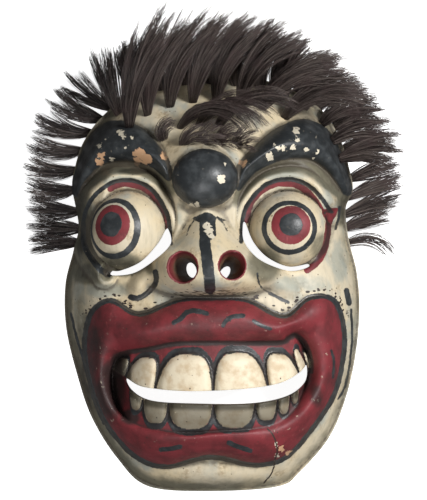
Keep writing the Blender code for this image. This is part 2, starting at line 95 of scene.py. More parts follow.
# Outlines of the carving seen from the front, in drawing units
FACE_CENTRE = (-0.8, -17.8)
MUZZLE = ((-1, -65), (64, 48))
FACE_OUTLINE = [
    (-1, 89), (30, 84), (52, 72), (63, 56), (68, 40), (69.5, 30), (66, 20.5), (67.5, 5), (71.5, -11),
    (73, -30), (71, -53), (66, -75), (57.5, -95), (43, -112), (32, -119.5), (-1, -121.8), (-33.5, -119.5),
    (-49.5, -105), (-62, -85), (-69, -65), (-75, -40), (-75.5, -18), (-71.5, -1), (-68.5, 12), (-72, 30),
    (-71, 40), (-66.5, 54), (-57, 67), (-40, 81), (-20, 87.5),
]
LIP_OUTER = [
    (-1, -24), (-18, -25), (-38, -32), (-52, -25.5), (-62, -32), (-65.5, -50), (-61, -73), (-53, -90),
    (-40, -104), (-25, -109), (-9, -105), (1, -104), (20, -108), (36, -104), (51, -87), (61, -70),
    (65, -45), (60, -26), (47, -24), (34, -33), (16, -25),
]
LIP_INNER = [
    (-1, -46), (-20, -46.5), (-32, -49), (-43, -50.8), (-50, -53.5), (-53, -62), (-52, -74), (-47.5, -83),
    (-38, -89), (-22.5, -92), (-12.5, -93), (0, -92), (17.5, -90.8), (30, -88), (38.5, -81.5), (44, -73.5),
    (47.5, -66), (48.5, -57), (46.5, -49), (43, -44), (39.5, -42.3), (36, -44), (31, -46),
]
MOUTH_GAP = [
    (-44, -64.5), (-35, -68.5), (-12, -70.3), (16, -69), (32, -66.5), (42, -61.5), (45.8, -58), (45, -66.5),
    (35.5, -73.5), (17, -76.8), (-12, -76.8), (-32, -75.5), (-41.5, -70.5),
]
BROW_LEFT = [
    (-72.5, 29.5), (-69.5, 44), (-63, 58), (-52, 65), (-38, 62), (-27, 51), (-21.5, 41), (-23, 34),
    (-32, 41), (-44, 44), (-56, 42), (-64, 34), (-69, 26),
]
BROW_RIGHT = [
    (69.5, 30), (65, 46), (57.5, 60), (45, 65.5), (31, 61), (18, 50), (10, 40), (11.5, 29), (20, 38),
    (32, 44), (46, 45), (56, 39), (65, 27.5),
]
SOCKET_LEFT = [
    (-67.5, 26), (-61, 38), (-45, 43.5), (-28, 39), (-20, 26), (-19, 10), (-29, -5), (-41, -12.5),
    (-54, -13), (-64.5, -3), (-68.5, 12),
]
SOCKET_RIGHT = [
    (13, 32), (23, 41), (38, 44.8), (52, 42), (63, 29), (63.5, 20), (58, 4), (48, -9.5), (36, -10.8),
    (22, -5), (11, 8), (10, 22),
]
LID_LEFT = [(-22, 3), (-24, 18), (-33, 31), (-47, 34.5), (-60, 27), (-66, 14), (-64, 0), (-54, -13)]
LID_RIGHT = [(13, 4), (15, 20), (25, 32), (38, 35), (49, 30), (58, 19)]
EYE_SLIT_LEFT = [
    (-24.5, 10), (-28.5, 3), (-37, -6), (-47, -10.5), (-51.5, -10.8), (-51.5, -13), (-40, -11.5),
    (-28.5, -4), (-22, 3), (-23, 9.5),
]
EYE_SLIT_RIGHT = [
    (15, 13.5), (19, 4), (26, -3.8), (36.5, -8.5), (46.5, -7.3), (46, -9.2), (36.5, -10.6),
    (22.5, -5.2), (14.8, 3.2), (13.8, 11),
]
BALL = (-5.0, 35.3)
BALL_RADII = (16.5, 14.8)
NOSE_TOP = (-4.2, 20.8)
NOSE_BASE = (-2.2, -8.2)
NOSTRIL_WINGS = [(-17.5, -9.3), (10.0, -8.8)]
NOSTRIL_WING_RADII = (12.8, 11.5)
# Each nostril: front centre, front radii, back centre, back radii, turn of the back end in degrees
NOSTRILS = [
    ((-16.0, -8.8), (7.3, 7.6), (-11.7, -10.3), (2.4, 3.8), 15.0),
    ((8.5, -7.8), (6.6, 7.0), (4.8, -11.8), (2.2, 3.8), -35.0),
]
# Each fold or swelling: centre, radii, turn in degrees, rise
SWELLINGS = [
    ((-61.5, -21.3), (15, 17), 0, 3.5),
    ((58.5, -20.3), (15, 17), 0, 3.5),
    ((-37, -16.3), (6, 10.5), -32, 5),
    ((30, -14.8), (17, 6.5), -32, 4.5),
    ((-1, -115.3), (34, 9), 0, 6),
]
UPPER_TEETH_START = -49.0
UPPER_TEETH_WIDTHS = [7, 14.2, 25, 23.6, 15.2, 4.2, 2.8]
UPPER_TEETH_ROOT = [-54, -53.4, -51.6, -50.8, -51.4, -49.3, -50.8]
LOWER_TEETH_START = -42.5
LOWER_TEETH_WIDTHS = [6, 12, 21.6, 20, 10.4, 5.6, 4]
LOWER_TEETH_ROOT = [-80.3, -86.8, -89.6, -89, -85.5, -82.3, -77]
TOOTH_GAP = 0.8
# Middle of the mouth gap, where the two rows of teeth meet
BITE_LINE = [
    (-50, -61), (-44, -64.5), (-38, -70), (-30, -72.3), (-12, -73.5), (16, -73), (33, -70.3), (42, -65),
    (46, -59.5),
]
# How much wider the upper teeth grow towards their biting edge, for each unit of their height
UPPER_TEETH_SPREAD = 0.009

# Hair: name, tufts, share of the face's radius at the roots, rise, strands, fan, then tufts along the row,
# each as its place around the face, the place of its tip and its turn on the way there; the rest lie between
HAIR_ROWS = [
    ("left", 9, 1.0, 0, 215, 10, [
        (163, -95, 2.2, 8), (154, -97, 18.2, -10), (145, -97.5, 32.8, -26), (136, -96.5, 51.8, -38),
        (127, -92.5, 72.8, -30), (120, -76.5, 88.8, -20),
    ]),
    ("top", 11, 1.0, 0, 260, 8, [
        (113, -46.5, 105.8, -14), (102, -21.5, 113.8, -28), (91, 4.5, 116.8, -32),
        (80, 28.5, 117.8, -36), (69, 57.5, 104.8, -42), (57, 83.5, 78.8, -44), (46, 95, 56.8, -34),
    ]),
    ("right", 4, 1.0, 0, 240, 7, [
        (37.6, 95, 43.8, -16), (30.4, 98, 33.8, -10), (23.2, 91.5, 19.8, -6),
    ]),
    ("wisp", 1, 1.0, 0, 84, 3, [
        (17.4, 92, -2.2, -75),
    ]),
    ("edge", 12, 0.95, 26, 300, 9, [
        (119, -58.5, 103.8, -10), (106, -31.5, 111.8, -28), (93, -4.5, 112.8, -40),
        (80, 23.5, 115.8, -44), (67, 55.5, 106.8, -50), (55, 86.5, 72.8, -54), (45, 95.5, 49.8, -30),
    ]),
    ("crown", 8, 0.86, 40, 400, 9, [
        (118, -26, 117.8, -34), (110, -12.5, 120.8, -46), (101, 8.5, 120.2, -52), (93, 20.5, 117.2, -54),
        (84, 37.5, 121.8, -56), (76, 65, 94.8, -62), (67, 79.5, 82.8, -62),
    ]),
    ("curl", 1, 0.72, 46, 110, 10, [
        (109, -20, 64.8, -110),
    ]),
    ("front", 3, 0.75, 46, 170, 5, [
        (102, 23.5, 60.2, -112), (95, 32.5, 66.2, -104), (88, 43.5, 72.8, -92),
    ]),
    ("fringe", 4, 0.67, 50, 110, 24, [
        (102, -3.5, 60.2, -60), (81, 22.5, 56.8, -40),
    ]),
]
STRANDS_PER_WISP = 26
STRAND_STATIONS = 9
# Strands, in drawing units: radii, depth of their ends in the hole, least height above the floor
STRAND_RADII = (0.09, 0.155)
DEPTH_IN_HOLE = 2.0
LEAST_HEIGHT = 0.4

# Painted strokes, in pixels of the photograph: points and half width
BLACK_STROKES = [
    ([(199, 219), (206, 216.5), (213, 219)], 3.2),
    ([(206, 218), (205, 240), (207, 258), (209, 275), (210, 288)], 5.6),
    ([(156, 272), (156.5, 281), (152, 289), (146, 294), (138, 298), (131, 297)], 2.8),
    ([(257, 273), (258, 281), (262, 288), (270, 293)], 0.9),
    ([(270, 293), (279, 298), (288, 302)], 1.7),
    ([(174, 322), (181, 318), (187, 312), (195, 310), (207, 313)], 2.4),
    ([(223, 325), (226, 320), (233, 316), (243, 315)], 2.2),
    ([(253, 320), (261, 325), (270, 328)], 1.7),
    ([(161, 449), (170, 448), (180, 446)], 2.4),
    ([(229, 442), (238, 446), (250, 450)], 2.6),
    ([(331, 350), (334, 362), (333, 378)], 1.3),
    ([(187, 235), (190, 226), (197, 218)], 0.8),
    ([(183, 230), (188, 222), (196, 217)], 0.6),
    ([(217, 218), (223, 223), (227, 231)], 0.8),
    ([(216, 217), (226, 221)], 0.6),
    ([(70, 314), (75, 335), (80, 352), (86, 375), (91, 395), (97, 412), (103, 425)], 1.3),
    ([(347, 291), (350, 303)], 3.0),
    ([(352, 310), (353, 340), (350, 370), (345, 390), (339, 400)], 1.3),
    ([(340, 207), (339, 217), (336, 229)], 1.4),
    ([(207.5, 221), (208, 233)], 8.0),
]

# Red lines along the lids and beside the right eye, in pixels: points and half width
LID_RIMS = [
    ([(111, 189), (119, 185), (128, 184), (140, 187), (150, 193), (158, 202), (164, 214), (167, 226)], 3.2),
    ([
        (246, 220), (250, 205), (257, 195), (266, 188), (276, 184), (290, 184), (300, 187), (308, 193),
        (316, 203), (322, 213),
    ], 3.4),
]
RED_CORNER_LINE = ([(333, 214), (329, 222), (327, 237), (324, 250), (317, 262), (307, 270)], 3.6)
RED_CORNER = [(322, 211), (338, 208), (333, 219), (327, 222)]
# Olive dirty areas and painted shade, painted deep shade, and grey-blue areas of paint, in pixels: centre,
# radii, strength
GRIME_AND_SHADE_PLACES = [
    ((80, 225), (20, 70), 1.5), ((92, 272), (38, 20), 1.3), ((80, 340), (18, 95), 0.6),
    ((112, 440), (34, 62), 0.4), ((160, 478), (70, 14), 0.2), ((344, 425), (24, 50), 0.35),
    ((180, 235), (14, 34), 0.25), ((236, 215), (9, 34), 0.3), ((343, 250), (11, 46), 0.3),
    ((115, 288), (26, 12), 0.5), ((122, 264), (36, 18), 1.3), ((264, 264), (28, 28), 1.1),
    ((346, 205), (14, 38), 1.4), ((150, 268), (8, 12), 0.7), ((318, 247), (14, 24), 0.8),
    ((136, 171), (34, 7), 1.6), ((215, 295), (90, 7), 0.5),
]
# Painted deep shade at the mouth's corners, on the lips' left side and on the upper lip
DEEP_SHADE_PLACES = [
    ((92, 365), (30, 92), 0.8), ((110, 388), (26, 46), 1.3), ((335, 375), (20, 48), 0.4),
    ((130, 318), (40, 26), 0.45), ((205, 330), (95, 22), 0.5), ((116, 372), (12, 30), 1.3),
    ((130, 417), (15, 12), 1.3), ((316, 395), (10, 22), 0.8),
]
COOL_PLACES = [
    ((340, 262), (16, 40), 0.8), ((78, 275), (26, 12), 0.7), ((300, 282), (26, 9), 0.5),
    ((262, 200), (9, 24), 0.5), ((335, 190), (20, 12), 0.6), ((180, 285), (30, 6), 0.35),
    ((300, 284), (52, 16), 0.7), ((182, 214), (12, 28), 0.6), ((104, 290), (44, 14), 0.8),
    ((284, 176), (40, 10), 0.8), ((126, 181), (40, 9), 0.8), ((352, 330), (14, 60), 0.6),
]
CRACK = [(267, 428), (272, 433), (276, 443), (277, 453), (275, 460), (274, 468), (271, 476), (264, 485)]
LID_LEFT_SHADOW = [(-66, 12), (-65.5, 3), (-62, -4), (-57, -10), (-53, -12.5)]
# Half widths of painted lines, in drawing units
LID_LINE = 1.1
LID_SHADOW = 1.5
LIP_LINE = 1.35
CRACK_WIDTH = 0.35
# Band of specks above the lips, in drawing units: half width and middle
SPECK_BAND = (3.5, 2.5)
# Largest depth of paint that is stored, in drawing units
PAINT_LIMIT = 4.0
# Chips of paint: place and half size in pixels
BARE_CHIPS = [
    (140, 155, 7), (147, 160, 6), (137, 163, 4), (102, 156, 4), (99, 162, 4), (243, 163, 4), (164, 156, 4),
    (281, 449, 3), (288, 453, 3),
]
PALE_CHIPS = [
    (121, 133, 4), (124, 137, 2.5), (132, 138, 2), (99, 146, 3), (105, 140, 1.5), (126, 148, 1.5),
    (112, 159, 2.5), (296, 131, 4), (297, 140, 3), (293, 148, 3), (283, 149, 3), (277, 149, 3),
    (274, 146, 2), (269, 157, 4.5), (306, 150, 2.5), (317, 153, 2.5), (313, 158, 1.5), (197, 205, 3.5),
    (191, 206, 3), (221, 180, 4.5), (172, 165, 2), (224, 165, 2), (207, 226, 4.5), (209, 231, 5),
    (212, 236, 3), (276, 444, 2.5), (277, 456, 2.5),
]

# Eyes: gaze and ring are shares of the radii, reach is that of the pupil, the iris and the ring's two sides
Eye = namedtuple("Eye", "brow socket lid slit centre radii gaze ring reach")
EYES = [
    Eye(
        BROW_LEFT, SOCKET_LEFT, LID_LEFT, EYE_SLIT_LEFT, (-43.5, 9.3), (18.8, 19.8),
        (-0.45, 0.17), (-0.485, 0.08), (6.5, 10.8, 13.9, 17.5),
    ),
    Eye(
        BROW_RIGHT, SOCKET_RIGHT, LID_RIGHT, EYE_SLIT_RIGHT, (36.4, 10.2), (19.3, 18.9),
        (0.07, 0.12), (0.036, 0.05), (6.1, 10.7, 12.5, 15.9),
    ),
]

# Colours
CREAM = (0.56, 0.49, 0.36)
CREAM_WARM = (0.60, 0.50, 0.33)
CREAM_GREY = (0.40, 0.40, 0.34)
CREAM_DARK = (0.33, 0.29, 0.21)
CREAM_COOL = (0.29, 0.31, 0.27)
OLIVE = (0.120, 0.113, 0.077)
OLIVE_DARK = (0.035, 0.033, 0.024)
TOOTH_STAIN_AND_SHADE = (0.060, 0.052, 0.034)
STAIN = (0.26, 0.18, 0.105)
DEEP_SHADE = (0.022, 0.016, 0.015)
TOOTH = (0.66, 0.58, 0.43)
TOOTH_WARM = (0.52, 0.41, 0.27)
RED = (0.185, 0.024, 0.030)
RED_DARK = (0.115, 0.018, 0.021)
RED_LIGHT = (0.25, 0.045, 0.048)
BLACK = (0.020, 0.023, 0.025)
BLACK_GREY = (0.044, 0.049, 0.052)
PALE_CHIP = (0.62, 0.56, 0.44)
BARE_WOOD = (0.55, 0.33, 0.19)
WORN = (0.62, 0.55, 0.42)
DIRT = (0.075, 0.062, 0.045)
PIT = (0.035, 0.025, 0.020)
INNER_WOOD = (0.24, 0.15, 0.085)
INNER_WOOD_DARK = (0.15, 0.09, 0.05)
HAIR_DARK = (0.022, 0.015, 0.014)
HAIR_BROWN = (0.165, 0.132, 0.117)
HAIR_DULL = (0.075, 0.050, 0.048)

# Camera and floor, in pixels of the photograph and in metres
PHOTO_WIDTH = 427
PHOTO_HEIGHT = 500
CAMERA_HEIGHT = 3.0
MIDDLE_DEPTH = 0.045
SENSOR = 36.0
FLOOR_HALF_SIZE = 3.0
FLOOR_DROP = 0.0004
FLOOR_GLOW = 0.95
# Lights: name, place and size in metres, power in watts
AIM = (0, 0, 0.03)
WORLD_STRENGTH = 0.17
LIGHTS = [
    ("key_light", (1.0, 0.5, 1.45), 0.5, 41.0),
    ("fill_light", (-0.25, -1.1, 1.6), 1.0, 17.0),
]


def from_pixels(points):
    """Drawing units from pixels of the photograph."""
    return (np.asarray(points, float) - (215, 249.5)) * (0.5, -0.5)


def smooth_line(points, closed=True, step=1.5):
    """Points of a smooth curve through the given ones, about a step apart."""
    corners = np.asarray(points, float)
    count = len(corners)
    spans = count if closed else count - 1
    pieces = []
    for index in range(spans):
        start = corners[index]
        end = corners[(index + 1) % count]
        before = corners[index - 1] if closed or index > 0 else 2 * start - end
        last = not closed and index + 2 >= count
        after = 2 * end - start if last else corners[(index + 2) % count]
        steps = max(1, round(np.linalg.norm(end - start) / step))
        t = (np.arange(steps) / steps)[:, None]
        curve = 2 * start + (end - before) * t
        curve = curve + (2 * before - 5 * start + 4 * end - after) * t ** 2
        curve = curve + (3 * start - before - 3 * end + after) * t ** 3
        pieces.append(curve / 2)
    if not closed:
        pieces.append(corners[-1:])
    return np.concatenate(pieces)


def distance_to(points, line, closed=True):
    """Distance of each point from a line of short straight pieces."""
    start = line if closed else line[:-1]
    along = (np.roll(line, -1, axis=0) if closed else line[1:]) - start
    square = np.maximum((along ** 2).sum(axis=1), 1e-12)
    nearest = np.full(len(points), np.inf)
    for first in range(0, len(points), 5000):
        offset = points[first:first + 5000, None, :] - start
        t = np.clip((offset * along).sum(axis=2) / square, 0, 1)
        gap = offset - t[..., None] * along
        nearest[first:first + 5000] = np.sqrt((gap ** 2).sum(axis=2).min(axis=1))
    return nearest


def distance_near(points, line, closed, reach):
    """Distance from a line where it is under the reach, and the reach elsewhere."""
    low = line.min(axis=0) - reach
    high = line.max(axis=0) + reach
    near = ((points > low) & (points < high)).all(axis=1)
    distance = np.full(len(points), float(reach))
    distance[near] = np.minimum(distance_to(points[near], line, closed), reach)
    return distance


def is_inside(points, loop):
    """Whether each point lies inside a closed loop."""
    x, y = points.T
    inside = np.zeros(len(points), bool)
    for (x0, y0), (x1, y1) in zip(loop, np.roll(loop, -1, axis=0)):
        if y0 != y1:
            crosses = (y0 > y) != (y1 > y)
            inside ^= crosses & (x < (x1 - x0) * (y - y0) / (y1 - y0) + x0)
    return inside


def depth_inside(points, outline):
    """Distance inside a smooth outline, negative outside it."""
    loop = smooth_line(outline)
    return np.where(is_inside(points, loop), 1, -1) * distance_to(points, loop)


def soft_step(t):
    t = np.clip(t, 0, 1)
    return t * t * (3 - 2 * t)


def soft_max(a, b, blend):
    """The larger of two heights, with the crease between them rounded."""
    t = np.clip(0.5 + 0.5 * (a - b) / blend, 0, 1)
    return b + (a - b) * t + blend * t * (1 - t)


def largest(shapes):
    """The largest of many depths, at each point."""
    return np.maximum.reduce(list(shapes))


def ellipse_share(points, centre, radii, turn=0.0):
    """Distance from an ellipse's centre, which is 1 on the ellipse."""
    angle = math.radians(turn)
    dx, dy = (points - np.array(centre)).T
    u = dx * math.cos(angle) + dy * math.sin(angle)
    v = dy * math.cos(angle) - dx * math.sin(angle)
    return np.hypot(u / radii[0], v / radii[1])


def ellipse_line(centre, radii, turn=0.0, step=1.0):
    """Points around an ellipse, about a step apart."""
    count = max(12, round(2 * math.pi * max(radii) / step))
    t = np.arange(count) / count * 2 * math.pi
    angle = math.radians(turn)
    u = radii[0] * np.cos(t)
    v = radii[1] * np.sin(t)
    x = centre[0] + u * math.cos(angle) - v * math.sin(angle)
    y = centre[1] + u * math.sin(angle) + v * math.cos(angle)
    return np.stack([x, y], axis=1)


def swelling(points, centre, radii, turn=0.0):
    return np.clip(1 - ellipse_share(points, centre, radii, turn) ** 2, 0, 1) ** 1.6


def outline_radius(angle):
    """Distance from the face's centre to its outline, by angle in radians."""
    offset = smooth_line(FACE_OUTLINE) - np.array(FACE_CENTRE)
    around = np.arctan2(offset[:, 1], offset[:, 0])
    order = np.argsort(around)
    return np.interp(angle, around[order], np.hypot(*offset.T)[order], period=2 * math.pi)


def face_share(points):
    """Distance from the face's centre as a share of the outline's."""
    dx, dy = (points - np.array(FACE_CENTRE)).T
    return np.hypot(dx, dy) / outline_radius(np.arctan2(dy, dx))


def dome(points):
    share = np.minimum(face_share(points), 0.985)
    height = SIDE_HEIGHT + DOME_RISE * (1 - share ** 3.2) ** 0.7
    return height + MUZZLE_RISE * swelling(points, *MUZZLE)


def brow(points, outline):
    share = np.clip(depth_inside(points, outline) / 9.0, 0, 1)
    return BROW_RISE * np.sin(math.pi / 2 * share) ** 0.8


def nose(points, height):
    """Raises the nose, with its ridge and its two nostril wings."""
    x, y = points.T
    down = np.clip((NOSE_TOP[1] - y) / (NOSE_TOP[1] - NOSE_BASE[1]), -0.1, 1.1)
    axis_x = NOSE_TOP[0] + (NOSE_BASE[0] - NOSE_TOP[0]) * down
    half_width = 8.5 + 13 * np.clip(down, 0, 1.1)
    ridge = 66 + (NOSE_TIP - 66) * soft_step(down) - 13 * ((x - axis_x) / half_width) ** 2
    ridge = ridge - 0.2 * np.clip(NOSE_BASE[1] - 5 - y, 0, None) ** 2
    ridge = ridge - 0.2 * np.clip(y - NOSE_TOP[1], 0, None) ** 2
    height = soft_max(height, ridge, 5)
    for centre in NOSTRIL_WINGS:
        share = ellipse_share(points, centre, NOSTRIL_WING_RADII)
        height = soft_max(height, NOSTRIL_WING_TOP - 15 * share ** 2.2, 4)
    return height


def ball(points, height):
    share = ellipse_share(points, BALL, BALL_RADII)
    top = BALL_TOP - 14 + 14 * np.sqrt(np.clip(1 - share ** 2, 0, 1)) - 20 * np.clip(share - 1, 0, None)
    return soft_max(height, top, 1.5)


def eye(points, height, shape):
    """Sinks a socket, then raises the lid and the eyeball in it."""
    sunk = soft_step(depth_inside(points, shape.socket) / 4.5)
    around = dome(points)
    height = height * (1 - sunk) + np.minimum(SOCKET_FLOOR, around + 4) * sunk
    line = smooth_line(shape.lid, closed=False)
    reach = distance_to(points, line, closed=False)
    outer = -5 * ((reach - 2.2) / 3.1) ** 2
    inner = -2.5 - 0.35 * reach - 1.5 * np.clip(reach - 4.5, 0, None) ** 2
    to_end = np.minimum(np.hypot(*(points - line[0]).T), np.hypot(*(points - line[-1]).T))
    lid = np.minimum(LID_TOP, around + 14) + np.where(is_inside(points, line), inner, outer)
    height = soft_max(height, lid - 6 * soft_step(1 - to_end / 7), 1.2)
    share = ellipse_share(points, shape.centre, shape.radii)
    cap = EYEBALL_RADIUS * np.sqrt(np.clip(1 - share ** 2, 0, 1))
    return np.where(share < 1, EYEBALL_TOP - EYEBALL_RADIUS + cap, height)


def bite_height(points):
    """Where the two rows of teeth meet, above or below each point."""
    return np.interp(points[:, 0], *zip(*BITE_LINE))


def tooth_shape(points):
    """Distance from the nearest tooth's middle, 1 at the tooth's edge, and how much the tooth bulges."""
    x, y = points.T
    nearest = np.full(len(points), 9.0)
    bulge = np.zeros(len(points))
    rows = [
        (UPPER_TEETH_START, UPPER_TEETH_WIDTHS, UPPER_TEETH_ROOT, 1, UPPER_TEETH_SPREAD),
        (LOWER_TEETH_START, LOWER_TEETH_WIDTHS, LOWER_TEETH_ROOT, -1, 0.0),
    ]
    edge = bite_height(points)
    for left, widths, roots, upward, spread in rows:
        narrow = x / (1 + spread * np.clip(-55 - y, -4, 13))
        for width, root in zip(widths, roots):
            across = np.abs(narrow - left - width / 2) / (width / 2)
            rise = (y - edge) / np.where(np.abs(root - edge) > 1, root - edge, upward)
            share = across ** 3.2 + np.clip(rise, 0, None) ** 3
            share = np.where(rise > 0, share, 9.0)
            closer = share < nearest
            nearest = np.where(closer, share, nearest)
            pillow = np.sqrt(np.clip(1 - across ** 2, 0, 1) * np.clip(1 - rise ** 4, 0, 1))
            bulge = np.where(closer, pillow, bulge)
            left += width + TOOTH_GAP
    return nearest, bulge


def mouth(points, height):
    """Raises the lips around the opening, with the gums and teeth set back in it."""
    from_rim = depth_inside(points, LIP_OUTER)
    opening = depth_inside(points, LIP_INNER)
    across = np.clip(from_rim / np.maximum(from_rim - opening, 1e-6), 0, 1)
    swell = np.sin(math.pi / 2 * np.clip(across / LIP_CREST, 0, 1)) ** 0.8
    turned_in = np.clip((across - LIP_CREST) / (1 - LIP_CREST), 0, 1) ** 1.8
    from_middle = np.abs(points[:, 0] + 1)
    below = bite_height(points) - points[:, 1]
    gums = GUM_HEIGHT - 0.0085 * from_middle ** 2 - LOWER_GUM_DROP * soft_step(0.5 + below / 6)
    lips = (height + LIP_RISE * swell * (from_rim > 0)) * (1 - turned_in) + (gums + 0.5) * turned_in
    share, bulge = tooth_shape(points)
    tooth = 0.45 * np.sin(math.pi / 2 * np.clip(1.6 * (1 - share), 0, 1)) + 0.55 * bulge * (share < 1)
    gums = gums - CORNER_SLOPE * np.clip(from_middle - 41, 0, 9) + TOOTH_RISE * tooth
    sunk = soft_step(opening / 1.4)
    return lips * (1 - sunk) - soft_max(-gums, -height - 4, 3) * sunk


def relief(points):
    """Height of the carved front above the rim, in drawing units."""
    height = dome(points)
    for shape in EYES:
        height = height + brow(points, shape.brow)
    height = nose(points, height)
    height = ball(points, height)
    for shape in EYES:
        height = eye(points, height, shape)
    for centre, radii, turn, rise in SWELLINGS:
        height = height + rise * swelling(points, centre, radii, turn)
    return mouth(points, height)


def hollow_rise():
    """Rise of the hollow that leaves ROOF_WALL of wood under the eye sockets."""
    dx, dy = np.array(EYES[0].centre) - np.array(FACE_CENTRE)
    inner = outline_radius(math.atan2(dy, dx)) - RIM_WALL
    return (SOCKET_FLOOR - ROOF_WALL) / math.sqrt(1 - (math.hypot(dx, dy) / inner) ** 2)


def hollow(points):
    """Height of the hollow's roof above the rim."""
    dx, dy = (points - np.array(FACE_CENTRE)).T
    share = np.hypot(dx, dy) / (outline_radius(np.arctan2(dy, dx)) - RIM_WALL)
    profile = np.sqrt(np.clip(1 - share ** 2, 0, 1))
    return profile * (hollow_rise() + MUZZLE_RISE * swelling(points, *MUZZLE))


def grid_inside(outer, holes, spacing, margin):
    """Points of a triangular grid inside a loop and outside the holes."""
    low = outer.min(axis=0)
    high = outer.max(axis=0)
    xs = np.arange(low[0], high[0], spacing)
    ys = np.arange(low[1], high[1], spacing * 0.866)
    x, y = np.meshgrid(xs, ys)
    x = x + (np.arange(len(ys)) % 2)[:, None] * spacing / 2
    points = np.stack([x.ravel(), y.ravel()], axis=1)
    points = points[is_inside(points, outer)]
    points = points[distance_near(points, outer, True, 4 * spacing) > margin]
    for hole in holes:
        clear = distance_near(points, hole, True, 4 * spacing) > margin
        points = points[clear & ~is_inside(points, hole)]
    return points


def fill_between(outer, holes, extra):
    """Points and triangles between an outer loop and the holes in it, through the extra points."""
    loops = [outer] + holes
    points = []
    edges = []
    for loop in loops:
        first = len(points)
        points.extend(map(tuple, loop))
        count = len(loop)
        edges.extend((first + i, first + (i + 1) % count) for i in range(count))
    points.extend(map(tuple, extra))
    places = [Vector(point) for point in points]
    found = geometry.delaunay_2d_cdt(places, edges, [], 0, 1e-7, False)
    plan = np.array([tuple(place) for place in found[0]])
    faces = np.array([face for face in found[2] if len(face) == 3])
    middle = plan[faces].mean(axis=1)
    keep = is_inside(middle, outer)
    for hole in holes:
        keep &= ~is_inside(middle, hole)
    return plan, faces[keep]


class MeshParts:
    """Collects the surfaces of one mesh, joined later where their points coincide."""

    def __init__(self):
        self.points = []
        self.faces = []
        self.inner = []
        self.count = 0

    def add(self, points, faces, inner=0.0):
        self.points.append(points)
        self.faces.append(np.asarray(faces) + self.count)
        self.inner.append(np.broadcast_to(inner, len(points)))
        self.count += len(points)

    def band(self, rows, inner=0.0):
        """Triangles between loops of equal length, one after another."""
        count = len(rows[0])
        here = np.arange(count)
        after = (here + 1) % count
        faces = []
        for row in range(len(rows) - 1):
            a = row * count
            b = a + count
            faces.append(np.stack([a + here, a + after, b + after], axis=1))
            faces.append(np.stack([a + here, b + after, b + here], axis=1))
        shades = np.repeat(np.broadcast_to(inner, len(rows)), count)
        self.add(np.concatenate(rows), np.concatenate(faces), shades)


def with_height(plan, height):
    return np.column_stack([plan, np.broadcast_to(height, len(plan))])


def blend_rows(start, end, count):
    return [start + (end - start) * t for t in np.linspace(0, 1, count)]


def build_mask_surface():
    """The whole surface of the mask: front, side wall, rim, hollow and cut-through walls."""
    step = FRONT_SPACING
    outer = smooth_line(FACE_OUTLINE, step=step)
    holes = [smooth_line(MOUTH_GAP, step=step)] + [smooth_line(shape.slit, step=step) for shape in EYES]
    front_holes = holes + [ellipse_line(n[0], n[1], step=step) for n in NOSTRILS]
    back_holes = holes + [
        ellipse_line(n[2], n[3], n[4], step=step * max(n[3]) / max(n[1])) for n in NOSTRILS
    ]
    extra = [grid_inside(outer, front_holes, step, 0.55 * step)]
    inward = np.array(FACE_CENTRE) - outer
    inward /= np.linalg.norm(inward, axis=1)[:, None]
    for offset in (0.2, 0.45):
        extra.append(outer + inward * offset)
    for shape in EYES:
        for grow in (0.96, 0.985, 0.9985, 1.0065):
            ring = ellipse_line(shape.centre, np.array(shape.radii) * grow, step=step)
            for hole in holes:
                ring = ring[~is_inside(ring, hole)]
                ring = ring[distance_to(ring, hole) > 0.12]
            extra.append(ring)
    plan, faces = fill_between(outer, front_holes, np.concatenate(extra))
    parts = MeshParts()
    parts.add(with_height(plan, relief(plan)), faces)
    top = with_height(outer, relief(outer))
    foot = with_height(outer, 0.0)
    parts.band(blend_rows(top, foot, 14))
    centre = np.array(FACE_CENTRE)
    offset = outer - centre
    around = np.arctan2(offset[:, 1], offset[:, 0])
    reach = np.hypot(*offset.T) - RIM_WALL
    inner = centre + np.stack([np.cos(around), np.sin(around)], axis=1) * reach[:, None]
    parts.band(blend_rows(foot, with_height(inner, 0.0), 5), [0, 1, 1, 1, 1])
    rings = [(centre + (inner - centre) * share)[::2] for share in (0.9985, 0.994, 0.985, 0.97)]
    extra = np.concatenate([grid_inside(inner, back_holes, BACK_SPACING, 2.0)] + rings)
    plan, faces = fill_between(inner, back_holes, extra)
    height = hollow(plan)
    height[:len(inner)] = 0.0
    parts.add(with_height(plan, height), faces[:, ::-1], 1.0)
    for front, back in zip(front_holes, back_holes):
        high = with_height(front, relief(front))
        low = with_height(back, hollow(back))
        parts.band(blend_rows(high, low, 16), soft_step(np.linspace(-0.2, 2.0, 16)))
    return parts


def make_mask():
    parts = build_mask_surface()
    points = np.concatenate(parts.points)
    faces = np.concatenate(parts.faces)
    mesh = bpy.data.meshes.new("carved_mask")
    mesh.from_pydata((points * UNIT).tolist(), [], faces.tolist())
    add_values(mesh, "inner", np.concatenate(parts.inner))
    bm = bmesh.new()
    bm.from_mesh(mesh)
    bmesh.ops.remove_doubles(bm, verts=bm.verts, dist=1e-6)
    bmesh.ops.recalc_face_normals(bm, faces=bm.faces)
    bm.to_mesh(mesh)
    bm.free()
    mesh.shade_smooth()
    piece = bpy.data.objects.new("carved_mask", mesh)
    bpy.context.scene.collection.objects.link(piece)
    return piece


def stroke(points, line, half_width, closed=False, reach=6.0):
    """Depth inside a painted stroke, in drawing units, negative outside it."""
    return half_width - distance_near(points, smooth_line(line, closed), closed, reach)


def reach_on_eye(points, centre, radii, gaze):
    """Way along an eyeball's surface from its gaze to each point."""
    dx, dy = (points - np.array(centre)).T
    u = dx / radii[0]
    v = dy / radii[1]
    share = u ** 2 + v ** 2
    w = np.sqrt(np.clip(1 - share, 0, 1))
    toward = np.array((gaze[0], gaze[1], math.sqrt(1 - gaze[0] ** 2 - gaze[1] ** 2)))
    cosine = np.clip(u * toward[0] + v * toward[1] + w * toward[2], -1, 1)
    return np.where(share < 1.0, np.arccos(cosine) * EYEBALL_RADIUS, 99.0)


